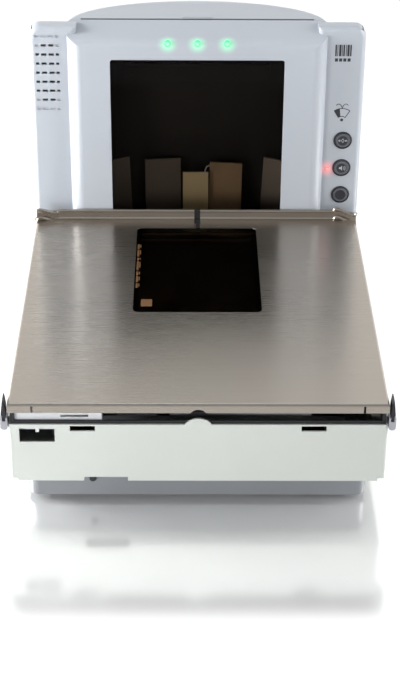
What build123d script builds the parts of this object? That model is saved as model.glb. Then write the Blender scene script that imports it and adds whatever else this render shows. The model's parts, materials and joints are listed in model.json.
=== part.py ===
"""Bi-optic checkout scanner with a scale: a low body under a stainless top plate, and a window tower.

Millimetres. +X is the operator's right, +Y is towards the tower, +Z is up.
The origin is on the surface that the feet stand on, under the middle of the box around the whole unit.
"""
import os
from math import cos, radians, sin

from build123d import *

os.makedirs("parts", exist_ok=True)

# ---------------------------------------------------------------- driving dimensions
unit_length = 399.0          # front flange of the top plate to the back of the tower
body_width = 292.0
plate_top = 102.0            # working surface above the counter well's floor
tower_top = 282.0
fit_gap = 0.3                # between pieces that move past each other
running_gap = 0.05           # radial, between a shaft and its bore

front = -unit_length / 2
back = unit_length / 2
half_width = body_width / 2

# body
sheet = 1.6                  # steel sheet of the body shell
body_front = front + 1.3
body_back = back - 2.5
body_floor = 31.0
body_top = 83.0
flange_sheet = 2.5           # shell's bottom flange
flange_top = body_floor + flange_sheet
flange_inner_x = 104.0
flange_inner_front = -156.0
flange_inner_back = 158.0
edge_step = 6.0              # the shell's bottom edge steps up along both sides
edge_step_height = 2.4
tab_radius = 12.6            # half-round locating tab on the front rim
tab_rise = 5.4

# base pan
foot_height = 5.0
pan_wall = 2.5
pan_half_width = 134.0
pan_front = -180.0
pan_back = 182.0
pan_floor_top = foot_height + pan_wall
base_screw_x = 114.0
base_screw_rows = (-168.0, 170.0)

# optics deck
deck_bottom = 74.0
deck_sheet = 2.5
deck_top = deck_bottom + deck_sheet
deck_front = -168.0
deck_back = 112.0

# top plate
plate_sheet = 1.5
flange_drop = 7.6
plate_under = plate_top - plate_sheet
plate_back = 118.5
lip_height = 9.2
lip_end_curve = 20.0         # length of each end of the lip that sweeps forward
lip_end_shift = 4.0
window_half_width = 54.0
window_front = -56.0
window_back = 100.0
window_corner = 5.0

# scale
cell_length = 130.0
cell_width = 30.0
cell_height = 22.0
cell_y = -125.0
cell_bottom = 60.0
spider_bottom = 86.0
spider_top = 91.0
spider_half_width = 112.0
spider_front = -165.0
spider_back = 112.0
spider_bar = 15.0

# tower
tower_face = 121.9
wing_face = 131.5
wing_depth = 13.0
wing_half_width = 148.2
wing_corner = 10.0
wing_edge_radius = 4.5
core_flat = 102.5            # half width of the tower's flat face
core_half_width = 114.2
dome_centre_y = 141.3
tower_bottom = body_top + 2.0
tower_wall = 3.0
wing_wall = 2.5
brow_bottom = 270.8          # where the face turns into the sloping brow
seam_y = 152.0               # split between front bezel and rear cover
view_half_width = 76.8
view_bottom = 104.0
view_top = 254.7

# controls
button_x = 131.8
button_heights = {"zero_button": 174.9, "volume_button": 147.9, "power_button": 121.0}
button_radius = 6.7
button_bore = 7.1
button_travel = 0.9
lamp_spacing = 26.0
lamp_height = 269.4
lamp_radius = 2.6
status_lamp = (118.9, 147.0)
grille_rows = 9
grille_pitch = 8.5
grille_top = 272.8
grille_slot_height = 2.2
grille_cells = ((-140.8, 3.2), (-135.0, 4.6), (-128.4, 4.6), (-123.0, 2.8))   # centre X, width

# optics
spinner_y = 120.0
spinner_bottom = 50.0
spinner_height = 12.0
spinner_flat = 23.0          # centre to facet
spindle_radius = 2.0
tray_top = flange_top + 3.0


# ---------------------------------------------------------------- helpers
def block(x0, x1, y0, y1, z0, z1, mode=Mode.ADD):
    """Box between two corners, in the part being built."""
    with Locations(((x0 + x1) / 2, (y0 + y1) / 2, (z0 + z1) / 2)):
        Box(x1 - x0, y1 - y0, z1 - z0, mode=mode)


def upright(x, y, z0, z1, radius, mode=Mode.ADD):
    """Cylinder along Z."""
    with Locations((x, y, (z0 + z1) / 2)):
        Cylinder(radius, z1 - z0, mode=mode)


def along_y(x, z, y0, y1, radius, mode=Mode.ADD):
    """Cylinder along Y."""
    with Locations((x, (y0 + y1) / 2, z)):
        Cylinder(radius, y1 - y0, rotation=(90, 0, 0), mode=mode)


def along_x(y, z, x0, x1, radius, mode=Mode.ADD):
    """Cylinder along X."""
    with Locations(((x0 + x1) / 2, y, z)):
        Cylinder(radius, x1 - x0, rotation=(0, 90, 0), mode=mode)


def tray(x, y0, y1, z0, z1, wall, corner):
    """Open-topped box, symmetric about X = 0, with rounded upright corners."""
    with BuildSketch(Plane.XY.offset(z0)) as outside:
        with Locations((0, (y0 + y1) / 2)):
            RectangleRounded(2 * x, y1 - y0, corner)
    extrude(outside.sketch, amount=z1 - z0)
    with BuildSketch(Plane.XY.offset(z0 + wall)) as inside:
        with Locations((0, (y0 + y1) / 2)):
            RectangleRounded(2 * (x - wall), y1 - y0 - 2 * wall, max(corner - wall, 0.4))
    extrude(inside.sketch, amount=z1 - z0 - wall, mode=Mode.SUBTRACT)


def ring_frame(x_out, y0, y1, x_in, y0_in, y1_in, z0, z1, corner_out=2.0, corner_in=2.0):
    """Flat rectangular frame, symmetric about X = 0."""
    with BuildSketch(Plane.XY.offset(z0)) as frame:
        with Locations((0, (y0 + y1) / 2)):
            RectangleRounded(2 * x_out, y1 - y0, corner_out)
        with Locations((0, (y0_in + y1_in) / 2)):
            RectangleRounded(2 * x_in, y1_in - y0_in, corner_in, mode=Mode.SUBTRACT)
    extrude(frame.sketch, amount=z1 - z0)


def tower_core(inset, z0, z1, mode=Mode.ADD):
    """Tower's block, or with an inset, the space inside its walls.

    In plan it has a flat face, rounded shoulders and a half-elliptical back.
    """
    shoulder_x = core_half_width - core_flat - inset
    shoulder_y = wing_face - tower_face - inset
    side_x = core_half_width - inset
    with BuildSketch(Plane.XY.offset(z0)) as plan:
        with BuildLine():
            Line((-core_flat, tower_face + inset), (core_flat, tower_face + inset))
            EllipticalCenterArc((core_flat, wing_face), shoulder_x, shoulder_y, -90, arc_size=90)
            Line((side_x, wing_face), (side_x, dome_centre_y))
            EllipticalCenterArc(
                (0, dome_centre_y), side_x, back - dome_centre_y - inset, 0, arc_size=180,
            )
            Line((-side_x, dome_centre_y), (-side_x, wing_face))
            EllipticalCenterArc((-core_flat, wing_face), shoulder_x, shoulder_y, 180, arc_size=90)
        make_face()
    extrude(plan.sketch, amount=z1 - z0, mode=mode)


def core_solid(inset, z0, z1, brow_drop, brow_radius, top_radius):
    """Tower's block under its sloping brow, with softened brow and top edges."""
    brow_corner = (tower_face, brow_bottom - brow_drop)
    with BuildPart() as core:
        tower_core(inset, z0, z1)
        with BuildSketch(Plane.YZ.offset(-half_width)) as wedge:
            with BuildLine():
                Polyline(
                    (tower_face - 5, brow_bottom - 20),
                    (tower_face, brow_bottom - 20),
                    brow_corner,
                    (seam_y - 2, tower_top - brow_drop),
                    (seam_y - 2, tower_top + 5),
                    (tower_face - 5, tower_top + 5),
                    close=True,
                )
            make_face()
            fillet(wedge.vertices().sort_by_distance(brow_corner)[:1], brow_radius)
        extrude(wedge.sketch, amount=body_width, mode=Mode.SUBTRACT)
        if top_radius:
            fillet(core.edges().group_by(Axis.Z)[-1], top_radius)
    return core.part


def lip_curve(y):
    """Plan line of the rear lip: straight, with both ends sweeping forward."""
    straight_x = half_width - lip_end_curve
    Spline((-half_width, y - lip_end_shift), (-straight_x, y), tangents=((1, 0.35), (1, 0)))
    Line((-straight_x, y), (straight_x, y))
    Spline((straight_x, y), (half_width, y - lip_end_shift), tangents=((1, 0), (1, -0.35)))


def tilted_plate(x, y, z, width, height, tilt, yaw=0.0, thickness=3.0):
    """Mirror blank: a plate facing -Y, tipped back by tilt and turned by yaw, in degrees."""
    with Locations(Location((x, y, z), (0, 0, yaw)) * Location((0, 0, 0), (-tilt, 0, 0))):
        Box(width, thickness, height)


# ---------------------------------------------------------------- base
with BuildPart() as rubber_feet:
    for foot_x in (-92.0, 92.0):
        for foot_y in (-158.0, 150.0):
            with BuildSketch(Plane.XY):
                with Locations((foot_x, foot_y)):
                    Circle(10)
            extrude(amount=foot_height, taper=8)

with BuildPart() as base_pan:
    tray(pan_half_width, pan_front, pan_back, foot_height, body_floor, pan_wall, 8)
    for side in (-1, 1):
        for row in base_screw_rows:
            upright(side * base_screw_x, row, pan_floor_top, body_floor, 6)
            upright(side * base_screw_x, row, foot_height, body_floor, 2.2, mode=Mode.SUBTRACT)
            upright(side * base_screw_x, row, foot_height, foot_height + 5, 4.6, mode=Mode.SUBTRACT)
    # standoffs under the main board
    for post_x in (-88.0, 88.0):
        for post_y in (-132.0, 2.0):
            upright(post_x, post_y, pan_floor_top, pan_floor_top + 5, 3.5)
    # cooling slots through the floor
    with Locations((0, 90, foot_height + pan_wall / 2)):
        with GridLocations(14, 44, 11, 2):
            Box(4.5, 34, 2 * pan_wall, mode=Mode.SUBTRACT)
    along_y(-83, 21.5, pan_front - 1, pan_front + pan_wall + 1, 1.6, mode=Mode.SUBTRACT)

with BuildPart() as base_screws:
    for side in (-1, 1):
        for row in base_screw_rows:
            upright(side * base_screw_x, row, foot_height + 2, foot_height + 5, 4)
            upright(side * base_screw_x, row, foot_height + 5, flange_top + 5, 2)
            with Locations((side * base_screw_x, row, foot_height + 2.6)):
                Box(5.4, 1.1, 1.4, mode=Mode.SUBTRACT)
                Box(1.1, 5.4, 1.4, mode=Mode.SUBTRACT)

with BuildPart() as ground_screw:
    along_y(-83, 21.5, pan_front - 2.2, pan_front, 2.9)
    along_y(-83, 21.5, pan_front, pan_front + 7, 1.55)
    fillet(ground_screw.edges().filter_by(GeomType.CIRCLE).group_by(Axis.Y)[0], 0.8)

# ---------------------------------------------------------------- body
with BuildPart() as body_shell:
    with BuildSketch(Plane.XY.offset(body_floor)):
        with Locations((0, (body_front + body_back) / 2)):
            RectangleRounded(body_width, body_back - body_front, 2.2)
    extrude(amount=body_top - body_floor)
    with BuildSketch(Plane.XY.offset(flange_top)):
        with Locations((0, (body_front + body_back) / 2)):
            Rectangle(body_width - 2 * sheet, body_back - body_front - 2 * sheet)
    extrude(amount=body_top - flange_top, mode=Mode.SUBTRACT)
    block(
        -flange_inner_x, flange_inner_x, flange_inner_front, flange_inner_back,
        body_floor - 1, flange_top + 1, mode=Mode.SUBTRACT,
    )
    for side in (-1, 1):
        # stepped bottom edge along each side
        with Locations((side * (half_width - edge_step / 2), 0, body_floor + edge_step_height / 2)):
            Box(edge_step, body_back - body_front + 2, edge_step_height, mode=Mode.SUBTRACT)
        # ledge that carries the optics deck
        block(
            *sorted((side * (half_width - sheet), side * (half_width - 10))),
            deck_front, deck_back, deck_bottom - 2.5, deck_bottom,
        )
        # bosses that take the base screws
        for row in base_screw_rows:
            upright(side * base_screw_x, row, flange_top, flange_top + 7, 6)
            upright(side * base_screw_x, row, body_floor, flange_top + 5.4, 2.05, mode=Mode.SUBTRACT)
        # finger slots in the front wall
        block(
            *sorted((side * 79.3, side * 98.6)), body_front - 1, body_front + sheet + 1,
            76.9, 81.7, mode=Mode.SUBTRACT,
        )
    # cable opening in the front wall, with a hanging strain tab
    block(-137.6, -110.4, body_front - 1, body_front + sheet + 1, 67, 79.9, mode=Mode.SUBTRACT)
    block(-124.9, -122.3, body_front, body_front + sheet, 76.2, 80.4)
    # notch in the bottom edge, in front of the ground screw
    block(-88.9, -54.6, body_front - 1, -188, body_floor - 1, 34.5, mode=Mode.SUBTRACT)
    # half-round locating tab in the middle of the front rim
    along_y(0, body_top + tab_rise - tab_radius, body_front, body_front + sheet, tab_radius)
    # opening in the back wall for the connector panel
    block(-66, 66, body_back - sheet - 1, body_back + 1, 40, 58, mode=Mode.SUBTRACT)

with BuildPart() as rim_gasket:
    # thin black strip that stands inside the front and side walls, with an upstand at each front corner
    gasket_out = half_width - sheet - 0.1
    gasket_front = body_front + sheet + 0.1
    block(-gasket_out, gasket_out, gasket_front, gasket_front + 1.3, 76, 85.6)
    for side in (-1, 1):
        block(*sorted((side * gasket_out, side * (gasket_out - 1.3))), gasket_front, 112, deck_bottom, 85.6)
        block(
            *sorted((side * gasket_out, side * (gasket_out - 3))),
            gasket_front, gasket_front + 8, deck_top, 94,
        )
        block(*sorted((side * 79, side * 99)), gasket_front - 1, gasket_front + 2, 76, 82, mode=Mode.SUBTRACT)
    block(-138.4, -110, gasket_front - 1, gasket_front + 2, 76, 80.6, mode=Mode.SUBTRACT)

# ---------------------------------------------------------------- optics under the deck
with BuildPart() as optics_deck:
    deck_half_width = gasket_out - 1.3 - 0.1
    block(-deck_half_width, deck_half_width, deck_front, deck_back, deck_bottom, deck_top)
    block(-50, 50, -50, 94, deck_bottom - 1, deck_top + 1, mode=Mode.SUBTRACT)
    block(-72, 72, cell_y - 20, cell_y + 20, deck_bottom - 1, deck_top + 1, mode=Mode.SUBTRACT)
    for side in (-1, 1):
        with Locations((side * 122, -20, deck_bottom)):
            with GridLocations(0, 52, 1, 3):
                Box(5, 26, 4 * deck_sheet, mode=Mode.SUBTRACT)

with BuildPart() as lower_window_gasket:
    ring_frame(60, -60, 104, 55.3, -55.3, 99.3, deck_top, deck_top + 4, 4, 2)

with BuildPart() as lower_window:
    with BuildSketch(Plane.XY.offset(deck_top)):
        with Locations((0, 22)):
            RectangleRounded(110, 154, 2)
    extrude(amount=3)

with BuildPart() as eas_coil:
    ring_frame(84, -84, 111, 66, -66, 108.5, deck_top, deck_top + 4.2, 9, 5)
    fillet(eas_coil.edges().group_by(Axis.Z)[-1], 1)

with BuildPart() as optics_tray:
    block(-110, 110, -70, 165, flange_top, tray_top)
    for side in (-1, 1):
        block(*sorted((side * 110, side * 107)), -70, 165, tray_top, tray_top + 16)
    block(-30, 30, -30, 50, flange_top - 1, tray_top + 1, mode=Mode.SUBTRACT)
    # saddle for the laser
    block(40, 74, spinner_y - 9, spinner_y + 9, tray_top, spinner_bottom + 3)
    along_x(spinner_y, spinner_bottom + 6, 39, 75, 7.02, mode=Mode.SUBTRACT)

with BuildPart() as spinner_motor:
    upright(0, spinner_y, tray_top, tray_top + 3, 21)
    upright(0, spinner_y, tray_top + 3, spinner_bottom - 2.5, 17)
    fillet(spinner_motor.edges().group_by(Axis.Z)[-1], 1.5)
    upright(0, spinner_y, tray_top + 1, spinner_bottom + spinner_height + 3, spindle_radius)

with BuildPart() as polygon_spinner:
    with BuildSketch(Plane.XY.offset(spinner_bottom)):
        with Locations((0, spinner_y)):
            Rectangle(2 * spinner_flat, 2 * spinner_flat)
            Circle(29.5, mode=Mode.INTERSECT)
    extrude(amount=spinner_height)
    upright(0, spinner_y, spinner_bottom - 2, spinner_bottom, 8)
    upright(0, spinner_y, spinner_bottom + spinner_height, spinner_bottom + spinner_height + 2, 7)
    upright(
        0, spinner_y, spinner_bottom - 3, spinner_bottom + spinner_height + 4,
        spindle_radius + running_gap, mode=Mode.SUBTRACT,
    )

with BuildPart() as laser_module:
    along_x(spinner_y, spinner_bottom + 6, 42, 72, 7)
    fillet(laser_module.edges().filter_by(GeomType.CIRCLE), 0.8)
    along_x(spinner_y, spinner_bottom + 6, 38, 42, 4)
    along_x(spinner_y, spinner_bottom + 6, 37, 40, 2.4, mode=Mode.SUBTRACT)

with BuildPart() as collector_mirror:
    # cupped mirror that gathers the returning light
    block(-74, -66, spinner_y - 20, spinner_y + 20, tray_top, 68)
    with Locations((-30, spinner_y, 54)):
        Sphere(39.5, mode=Mode.SUBTRACT)

with BuildPart() as photodiode_board:
    block(-3, 23, 64.5, 66.1, tray_top, 60)
    along_y(10, 52, 66.1, 69, 4)

with BuildPart() as lower_mirrors:
    # the ring of fixed mirrors that turn the beams up through the window
    tilted_plate(0, -52, 54, 84, 40, 45)
    tilted_plate(-84, 22, 55, 70, 38, 40, yaw=90)
    tilted_plate(84, 22, 55, 70, 38, 40, yaw=-90)

with BuildPart() as main_board:
    block(-95, 95, -140, 10, pan_floor_top + 5, pan_floor_top + 6.6)
    for chip_x, chip_y, chip_size in ((-40, -100, 26), (10, -60, 18), (50, -110, 14), (-60, -30, 12)):
        block(
            chip_x, chip_x + chip_size, chip_y, chip_y + chip_size,
            pan_floor_top + 6.6, pan_floor_top + 9,
        )
    with Locations((60, -30, pan_floor_top + 6.6 + 5)):
        with GridLocations(14, 16, 3, 2):
            Cylinder(5, 10)

with BuildPart() as io_board:
    block(-78, 78, 150, 193, tray_top + 5.0, tray_top + 6.6)
    for post_x in (-70, 70):
        upright(post_x, 158, tray_top, tray_top + 5.0, 3)

port_floor = tray_top + 6.6
with BuildPart() as data_ports:
    for port_x in (-42.0, -22.0, -2.0):
        block(port_x - 8, port_x + 8, body_back - 16, body_back + 0.4, port_floor, port_floor + 13)
        block(
            port_x - 5.9, port_x + 5.9, body_back - 12, body_back + 1,
            port_floor + 2.5, port_floor + 10.5, mode=Mode.SUBTRACT,
        )
    # the smaller USB socket
    block(16, 31, body_back - 16, body_back + 0.4, port_floor, port_floor + 8)
    block(17, 30, body_back - 12, body_back + 1, port_floor + 1.2, port_floor + 6.8, mode=Mode.SUBTRACT)

with BuildPart() as power_socket:
    block(42, 58, body_back - 16, body_back + 0.4, port_floor, port_floor + 12)
    block(44, 56, body_back - 12, body_back + 1, port_floor + 2, port_floor + 10, mode=Mode.SUBTRACT)
    for pin_x in (47.2, 52.8):
        along_y(pin_x, port_floor + 3.4, body_back - 12, body_back - 3, 0.6)

with BuildPart() as port_panel:
    block(-70, 70, body_back - sheet - 1.3, body_back - sheet - 0.1, flange_top + 0.3, 60)
    for port_x in (-42.0, -22.0, -2.0):
        block(
            port_x - 8.1, port_x + 8.1, body_back - 5, body_back, port_floor - 2, port_floor + 13.1,
            mode=Mode.SUBTRACT,
        )
    block(15.9, 31.1, body_back - 5, body_back, port_floor - 2, port_floor + 8.1, mode=Mode.SUBTRACT)
    block(41.9, 58.1, body_back - 5, body_back, port_floor - 2, port_floor + 12.1, mode=Mode.SUBTRACT)

# ---------------------------------------------------------------- scale
cell_top = cell_bottom + cell_height
with BuildPart() as load_cell_bracket:
    block(-118, 118, cell_y - 17, cell_y + 17, 50, 55)
    for side in (-1, 1):
        block(*sorted((side * 106.5, side * 118)), cell_y - 17, cell_y + 17, flange_top, 50)
    block(-65, -33, cell_y - 15, cell_y + 15, 55, cell_bottom)
    for bolt_x in (-58, -42):
        upright(bolt_x, cell_y, 49, cell_bottom, 2.6, mode=Mode.SUBTRACT)

with BuildPart() as load_cell:
    block(-65, 65, cell_y - 15, cell_y + 15, cell_bottom, cell_top)
    # twin bores joined by a slit make the flexure
    for bore_x in (-14, 14):
        along_y(bore_x, cell_bottom + 11, cell_y - 16, cell_y + 16, 8, mode=Mode.SUBTRACT)
    block(-14, 14, cell_y - 16, cell_y + 16, cell_bottom + 8, cell_bottom + 14, mode=Mode.SUBTRACT)
    for bolt_x in (-58, -42):
        upright(bolt_x, cell_y, cell_bottom - 1, cell_bottom + 12, 2.55, mode=Mode.SUBTRACT)
    for bolt_x in (42, 58):
        upright(bolt_x, cell_y, cell_top - 12, cell_top + 1, 2.55, mode=Mode.SUBTRACT)

with BuildPart() as load_cell_bolts:
    for bolt_x in (-58, -42):
        upright(bolt_x, cell_y, 46, 50, 4.2)
        upright(bolt_x, cell_y, 50, cell_bottom + 11, 2.5)
    for bolt_x in (42, 58):
        upright(bolt_x, cell_y, spider_top, spider_top + 3.4, 4.2)
        upright(bolt_x, cell_y, cell_top - 11, spider_top, 2.5)
        with BuildSketch(Plane.XY.offset(spider_top + 3.4)):
            with Locations((bolt_x, cell_y)):
                RegularPolygon(2.2, 6)
        extrude(amount=-2, mode=Mode.SUBTRACT)

with BuildPart() as scale_spider:
    ring_frame(
        spider_half_width, spider_front, spider_back,
        spider_half_width - spider_bar, spider_front + spider_bar, spider_back - spider_bar + 2,
        spider_bottom, spider_top, 8, 4,
    )
    block(
        -spider_half_width + spider_bar, spider_half_width - spider_bar, cell_y - 17, cell_y + 17,
        spider_bottom, spider_top,
    )
    block(34, 66, cell_y - 15, cell_y + 15, cell_top, spider_bottom)
    for bolt_x in (42, 58):
        upright(bolt_x, cell_y, cell_top - 1, spider_top + 1, 2.6, mode=Mode.SUBTRACT)
    for hole_x in (-76, -44, -12):
        upright(hole_x, cell_y, spider_bottom - 1, spider_top + 1, 9, mode=Mode.SUBTRACT)

with BuildPart() as spider_pads:
    for pad_x in (-104.5, 104.5):
        for pad_y in (spider_front + 7.5, spider_back - 6.5):
            with BuildSketch(Plane.XY.offset(spider_top)):
                with Locations((pad_x, pad_y)):
                    Circle(6.4)
            extrude(amount=plate_under - fit_gap - spider_top, taper=6)

with BuildPart() as scale_stop_bracket:
    # pale angle behind the front gap, with a slot for the shipping lock
    stop_front = body_front + sheet + 2.1
    stop_left = -141.0
    stop_right = -74.0
    stop_top = 91.4
    stop_sheet = 1.2
    block(stop_left, stop_right, stop_front, stop_front + stop_sheet, deck_top, stop_top)
    block(stop_left, stop_right, stop_front, deck_front + 12, deck_top, deck_top + stop_sheet)
    block(stop_left, stop_right, stop_front, stop_front + 9, stop_top - stop_sheet, stop_top)
    block(-105.6, -84.3, stop_front - 1, stop_front + 3, 87.6, 89.6, mode=Mode.SUBTRACT)
    # cut away behind the left finger slot
    block(-101, -77, stop_front - 1, -184, deck_top - 1, 82.6, mode=Mode.SUBTRACT)

with BuildPart() as scale_beam:
    # dark stiffener that reaches forward from the spider under the plate's front edge
    block(-22, 87, -190, -186.5, 86.4, 89.4)
    for arm_x in (-12, 77):
        block(arm_x - 5, arm_x + 5, -186.5, spider_front, spider_bottom + 0.2, spider_bottom + 3)

# ---------------------------------------------------------------- corner guards
with BuildPart() as corner_brackets:
    for side in (-1, 1):
        block(*sorted((side * half_width, side * (half_width + 5.5))), front + 0.6, -186, 78.6, 89.5)
        block(
            *sorted((side * (half_width + 1.4), side * (half_width + 4.1))),
            front + 0.5, -185.9, 86.2, 90, mode=Mode.SUBTRACT,
        )
    fillet(corner_brackets.edges().filter_by(Axis.Y).group_by(Axis.Z)[0], 2.4)

with BuildPart() as corner_bumpers:
    for side in (-1, 1):
        with BuildSketch(Plane.XZ.offset(-(front + 1.2))):
            with BuildLine():
                inner = side * (half_width + 1.45)
                outer = side * (half_width + 4.05)
                Polyline(
                    (inner, 86.25), (outer, 86.25), (outer, 89.9), (side * (half_width + 4.9), 92.5),
                    (side * (half_width + 3.4), 104.5), (side * (half_width + 2.6), 104.5), (inner, 96),
                    close=True,
                )
            make_face()
        extrude(amount=-11)

# ---------------------------------------------------------------- top plate
lip_centre = plate_back + plate_sheet / 2
lip_top = plate_top + lip_height
hem_radius = 1.5
bend_radius = 1.8            # inside radius where the lip turns up
straight_bend = bend_radius - 0.06
lip_straight = half_width - lip_end_curve
lip_overlap = 0.8            # how far the straight middle runs into the curved ends
gap_left = (-0.6, -0.6, -2.0, -2.0)
gap_right = (3.0, 3.0, 3.6, 3.2)
gap_rows = (window_back - 1, 108.0, 109.5, plate_back + 4)

with BuildPart() as top_plate:
    # pressed sheet with its front and sides folded down
    block(-half_width, half_width, front, plate_back - 10, plate_top - flange_drop, plate_top)
    top_edges = top_plate.edges().group_by(Axis.Z)[-1]
    fillet(top_edges.filter_by(Axis.Y) + top_edges.filter_by(Axis.X).sort_by(Axis.Y)[:1], 2.4)
    block(
        -half_width + plate_sheet, half_width - plate_sheet, front + plate_sheet, plate_back,
        plate_top - flange_drop - 1, plate_under, mode=Mode.SUBTRACT,
    )
    # rear strip of the sheet, whose edge follows the lip
    with BuildSketch(Plane.XY.offset(plate_under)):
        with BuildLine():
            lip_curve(lip_centre)
            Polyline(
                (half_width, lip_centre - lip_end_shift), (half_width, plate_back - 10),
                (-half_width, plate_back - 10), (-half_width, lip_centre - lip_end_shift),
            )
        make_face()
    extrude(amount=plate_sheet)
    # upturned lip
    with BuildSketch(Plane.XY.offset(plate_under)):
        with BuildLine():
            lip_curve(lip_centre)
        trace(line_width=plate_sheet)
    extrude(amount=lip_top - hem_radius - plate_under)
    # rolled edge along the top of the lip, a hair thinner along its straight middle
    with BuildLine(Plane.XY.offset(lip_top - hem_radius)) as hem_line:
        lip_curve(lip_centre)
    for stretch in hem_line.edges().filter_by(GeomType.BSPLINE):
        with BuildSketch(Plane(origin=stretch @ 0, z_dir=stretch % 0)):
            Circle(hem_radius)
        sweep(path=stretch)
    along_x(
        lip_centre, lip_top - hem_radius, -lip_straight - lip_overlap, lip_straight + lip_overlap,
        hem_radius - 0.05,
    )
    # rounded inner corner where the lip turns up
    with BuildLine(Plane.XY.offset(plate_top)) as bend_line:
        lip_curve(lip_centre - plate_sheet / 2)
    for stretch in bend_line.edges().filter_by(GeomType.BSPLINE):
        with BuildSketch(Plane(origin=stretch @ 0, x_dir=(0, 0, 1), z_dir=stretch % 0)):
            with Locations((bend_radius / 2 - 0.1, bend_radius / 2 - 0.1)):
                Rectangle(bend_radius + 0.2, bend_radius + 0.2)
            with Locations((bend_radius, bend_radius)):
                Circle(bend_radius, mode=Mode.SUBTRACT)
        sweep(path=stretch)
    bend_start = Plane(
        origin=(-lip_straight - lip_overlap, lip_centre - plate_sheet / 2, plate_top),
        x_dir=(0, 0, 1), z_dir=(1, 0, 0),
    )
    with BuildSketch(bend_start):
        with Locations((straight_bend / 2 - 0.1, straight_bend / 2 - 0.1)):
            Rectangle(straight_bend + 0.15, straight_bend + 0.15)
        with Locations((straight_bend, straight_bend)):
            Circle(straight_bend, mode=Mode.SUBTRACT)
    extrude(amount=2 * (lip_straight + lip_overlap))
    # hole for the glass
    with BuildSketch(Plane.XY.offset(plate_under - 1)):
        with Locations((0, (window_front + window_back) / 2)):
            RectangleRounded(2 * window_half_width, window_back - window_front, window_corner)
    extrude(amount=plate_sheet + 2, mode=Mode.SUBTRACT)
    # break in the sheet behind the glass, which stops eddy currents in the tag antenna
    with BuildSketch(Plane.XY.offset(plate_under - 1)):
        with BuildLine():
            Polyline(
                *zip(gap_left, gap_rows), *reversed(list(zip(gap_right, gap_rows))), close=True,
            )
        make_face()
    extrude(amount=lip_height + 5, mode=Mode.SUBTRACT)
    # folded corners leave a seam near each end of the front flange
    for side in (-1, 1):
        block(
            *sorted((side * 126.2, side * 127.9)), front - 1, front + plate_sheet,
            plate_top - flange_drop - 1, plate_top - 1.6, mode=Mode.SUBTRACT,
        )
    # finger notch in the middle of the front flange
    along_y(0, plate_top - flange_drop - 4.5, front - 1, front + 3, 7.5, mode=Mode.SUBTRACT)

with BuildPart() as window_frame:
    ring_frame(64, -66, 110, 50, -52, 96, 95, 98.6, 4, 3)
    ring_frame(64, -66, 110, window_half_width, window_front, window_back, 98.6, plate_under, 4, 5)

with BuildPart() as horizontal_window:
    with BuildSketch(Plane.XY.offset(98.6)):
        with Locations((0, (window_front + window_back) / 2)):
            RectangleRounded(
                2 * window_half_width - 0.6, window_back - window_front - 0.6, window_corner - 0.3,
            )
    extrude(amount=plate_top - 0.4 - 98.6)
    chamfer(horizontal_window.edges().group_by(Axis.Z)[-1], 0.3)

with BuildPart() as eas_gap_insert:
    with BuildSketch(Plane.XY.offset(plate_under)):
        with BuildLine():
            rows = (window_back + 0.05, 108.0, 109.5, plate_back + 2.2)
            Polyline(*zip(gap_left, rows), *reversed(list(zip(gap_right, rows))), close=True)
        make_face()
        offset(amount=-0.05, kind=Kind.INTERSECTION)
    extrude(amount=plate_sheet - 0.2)
    block(-1.95, 3.2, plate_back + 0.1, plate_back + 2.0, plate_top - 0.3, lip_top - 0.3)

# ---------------------------------------------------------------- tower housing
outer_core = core_solid(0, tower_bottom, tower_top, 0, 7.0, 2.0)
inner_core = core_solid(tower_wall, tower_bottom - 1, tower_top - tower_wall, 3.3, 4.0, 0)
wing_inner_x = wing_half_width - wing_wall
wing_back = wing_face + wing_depth

with BuildPart() as tower_mount_plate:
    block(-half_width + 0.2, half_width - 0.2, tower_face - 0.6, body_back - 0.2, body_top, tower_bottom)
    block(-80, 80, 133.5, 168, body_top - 1, tower_bottom + 1, mode=Mode.SUBTRACT)

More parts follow.
